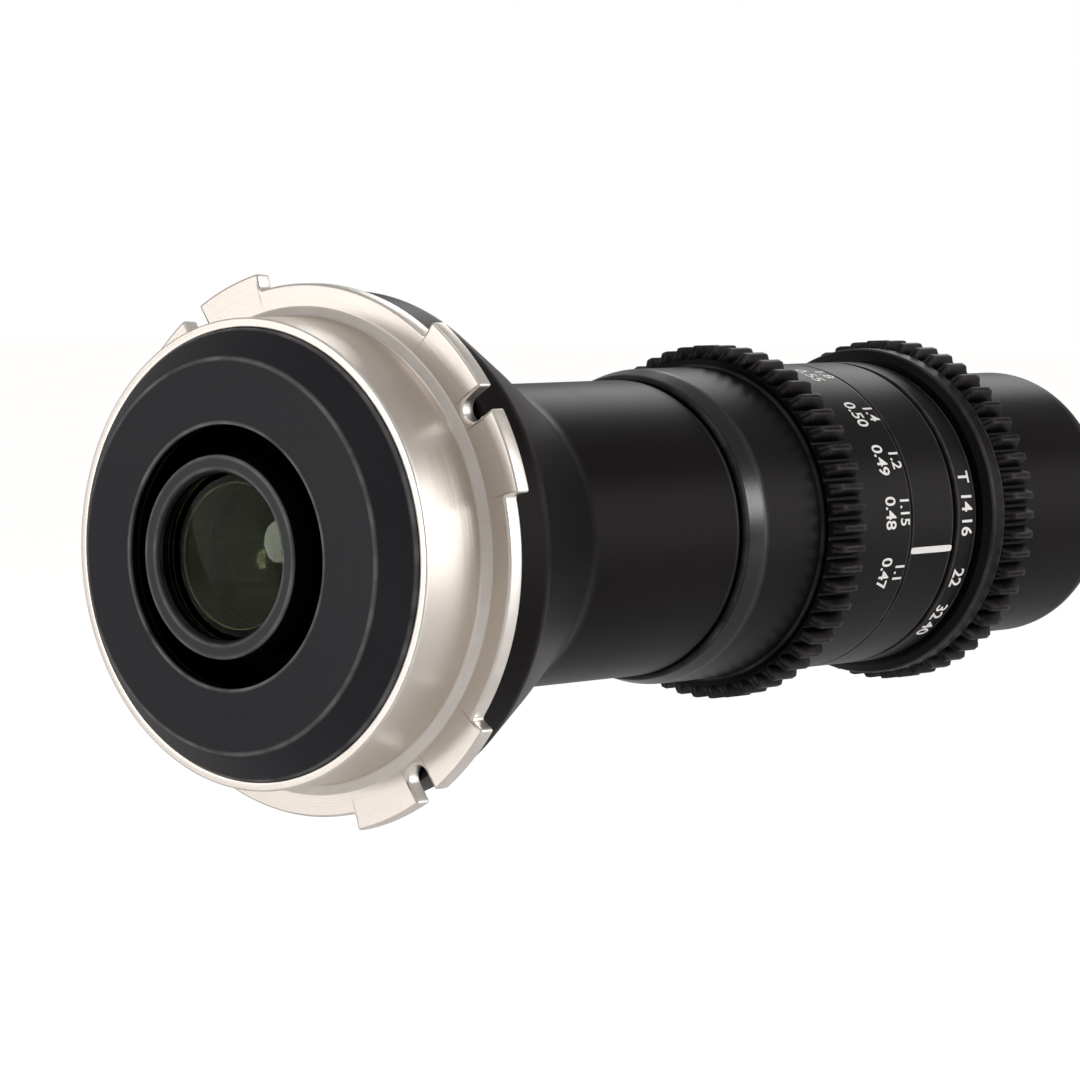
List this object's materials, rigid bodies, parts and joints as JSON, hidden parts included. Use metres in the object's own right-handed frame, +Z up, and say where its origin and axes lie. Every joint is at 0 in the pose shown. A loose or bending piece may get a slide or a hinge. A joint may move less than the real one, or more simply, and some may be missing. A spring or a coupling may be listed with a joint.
{
  "type": "macro probe lens",
  "caption": "Macro probe lens: bayonet camera mount, geared focus and aperture rings with a working iris, and a long thin tube with a lit tip.",
  "frame": {"origin": "centre of the mount's seating face, on the optical axis", "axes": "+X along the optical axis from the camera to the tip, +Z up as pictured, +Y completes the right-handed frame"},
  "size_m": [0.4078, 0.0638, 0.0638],
  "materials": {
    "black_anodised": "satin black anodised",
    "optical_glass": "coated",
    "blade_steel": "blackened",
    "satin_mount_metal": "satin nickel plated",
    "shim_brass": "rolled",
    "sleeve_brass": "turned",
    "screw_steel": "turned",
    "black_screw_steel": "black oxide",
    "socket_steel": "pressed",
    "bare_aluminium": "turned",
    "black_plastic": "matte",
    "seal_rubber": "matte",
    "board_plastic": "matte",
    "led_plastic": "gloss",
    "window_plastic": "frosted",
    "wire_plastic": "gloss"
  },
  "bodies": {
    "lens_body": {"bayonet_mount": "satin_mount_metal", "mount_shim": "shim_brass", "mount_screws": "screw_steel", "rear_baffle": "black_anodised", "rear_lens_cell": "black_anodised", "rear_lens": "optical_glass", "rear_inner_lens": "optical_glass", "rear_lens_ring": "black_anodised", "rear_housing": "black_anodised", "main_barrel": "black_anodised", "grub_screws": "black_screw_steel", "guide_tube": "bare_aluminium", "guide_screws": "black_screw_steel", "sleeve_retainer": "bare_aluminium", "thrust_washer_rear": "black_plastic", "thrust_washer_front": "black_plastic", "index_collar": "black_anodised", "iris_base": "black_anodised", "iris_retainer": "black_anodised", "front_barrel": "black_anodised", "relay_cell": "black_anodised", "relay_cell_lens": "optical_glass", "tube_lock_ring": "bare_aluminium", "tube_seal": "seal_rubber", "probe_tube": "black_anodised", "relay_tube": "black_anodised", "relay_lens_1": "optical_glass", "relay_lens_2": "optical_glass", "relay_lens_3": "optical_glass", "relay_spacer_1": "black_anodised", "relay_spacer_2": "black_anodised", "relay_ring": "black_anodised", "light_head": "black_anodised", "led_board": "board_plastic", "leds": "led_plastic", "light_window": "window_plastic", "front_lens_cell": "black_anodised", "front_lens": "optical_glass", "led_wires": "wire_plastic", "usb_socket": "socket_steel"},
    "focus_unit": {"focus_ring": "black_anodised", "focus_cam_sleeve": "sleeve_brass", "focus_key_screw": "black_screw_steel"},
    "focus_group": {"focus_carriage": "black_anodised", "focus_pins": "screw_steel", "focus_lens_rear": "optical_glass", "focus_lens_front": "optical_glass", "focus_lens_ring": "black_anodised"},
    "aperture_unit": {"aperture_ring": "black_anodised", "aperture_drive_screw": "black_screw_steel", "iris_cam_ring": "bare_aluminium"},
    "blade_1": {"iris_blade_1": "blade_steel"},
    "blade_2": {"iris_blade_2": "blade_steel"},
    "blade_3": {"iris_blade_3": "blade_steel"},
    "blade_4": {"iris_blade_4": "blade_steel"},
    "blade_5": {"iris_blade_5": "blade_steel"},
    "blade_6": {"iris_blade_6": "blade_steel"},
    "blade_7": {"iris_blade_7": "blade_steel"}
  },
  "joints": [
    {"name": "focus_turn", "type": "hinge", "parent": "lens_body", "child": "focus_unit", "pos_m": [0.0754, 0, 0], "axis": [1, 0, 0], "range_deg": [-20, 180]},
    {"name": "focus_slide", "type": "slide", "parent": "lens_body", "child": "focus_group", "axis": [1, 0, 0], "range_m": [-0.00811, 0.00091]},
    {"name": "aperture_turn", "type": "hinge", "parent": "lens_body", "child": "aperture_unit", "pos_m": [0.109, 0, 0], "axis": [1, 0, 0], "range_deg": [-36, 21.5]},
    {"name": "blade_1_pivot", "type": "hinge", "parent": "lens_body", "child": "blade_1", "pos_m": [0.1024, 0.0132, 0], "axis": [1, 0, 0], "range_deg": [-7.1, 4.25]},
    {"name": "blade_2_pivot", "type": "hinge", "parent": "lens_body", "child": "blade_2", "pos_m": [0.1024, 0.00823, 0.01032], "axis": [1, 0, 0], "range_deg": [-7.1, 4.25]},
    {"name": "blade_3_pivot", "type": "hinge", "parent": "lens_body", "child": "blade_3", "pos_m": [0.1024, -0.00294, 0.01287], "axis": [1, 0, 0], "range_deg": [-7.1, 4.25]},
    {"name": "blade_4_pivot", "type": "hinge", "parent": "lens_body", "child": "blade_4", "pos_m": [0.1024, -0.01189, 0.00573], "axis": [1, 0, 0], "range_deg": [-7.1, 4.25]},
    {"name": "blade_5_pivot", "type": "hinge", "parent": "lens_body", "child": "blade_5", "pos_m": [0.1024, -0.01189, -0.00573], "axis": [1, 0, 0], "range_deg": [-7.1, 4.25]},
    {"name": "blade_6_pivot", "type": "hinge", "parent": "lens_body", "child": "blade_6", "pos_m": [0.1024, -0.00294, -0.01287], "axis": [1, 0, 0], "range_deg": [-7.1, 4.25]},
    {"name": "blade_7_pivot", "type": "hinge", "parent": "lens_body", "child": "blade_7", "pos_m": [0.1024, 0.00823, -0.01032], "axis": [1, 0, 0], "range_deg": [-7.1, 4.25]}
  ],
  "couplings": [
    {"joint": "focus_slide", "follows": "focus_turn", "m_per_rad": -0.0025783},
    {"joint": "blade_1_pivot", "follows": "aperture_turn", "ratio": 0.1965},
    {"joint": "blade_2_pivot", "follows": "aperture_turn", "ratio": 0.1965},
    {"joint": "blade_3_pivot", "follows": "aperture_turn", "ratio": 0.1965},
    {"joint": "blade_4_pivot", "follows": "aperture_turn", "ratio": 0.1965},
    {"joint": "blade_5_pivot", "follows": "aperture_turn", "ratio": 0.1965},
    {"joint": "blade_6_pivot", "follows": "aperture_turn", "ratio": 0.1965},
    {"joint": "blade_7_pivot", "follows": "aperture_turn", "ratio": 0.1965}
  ]
}
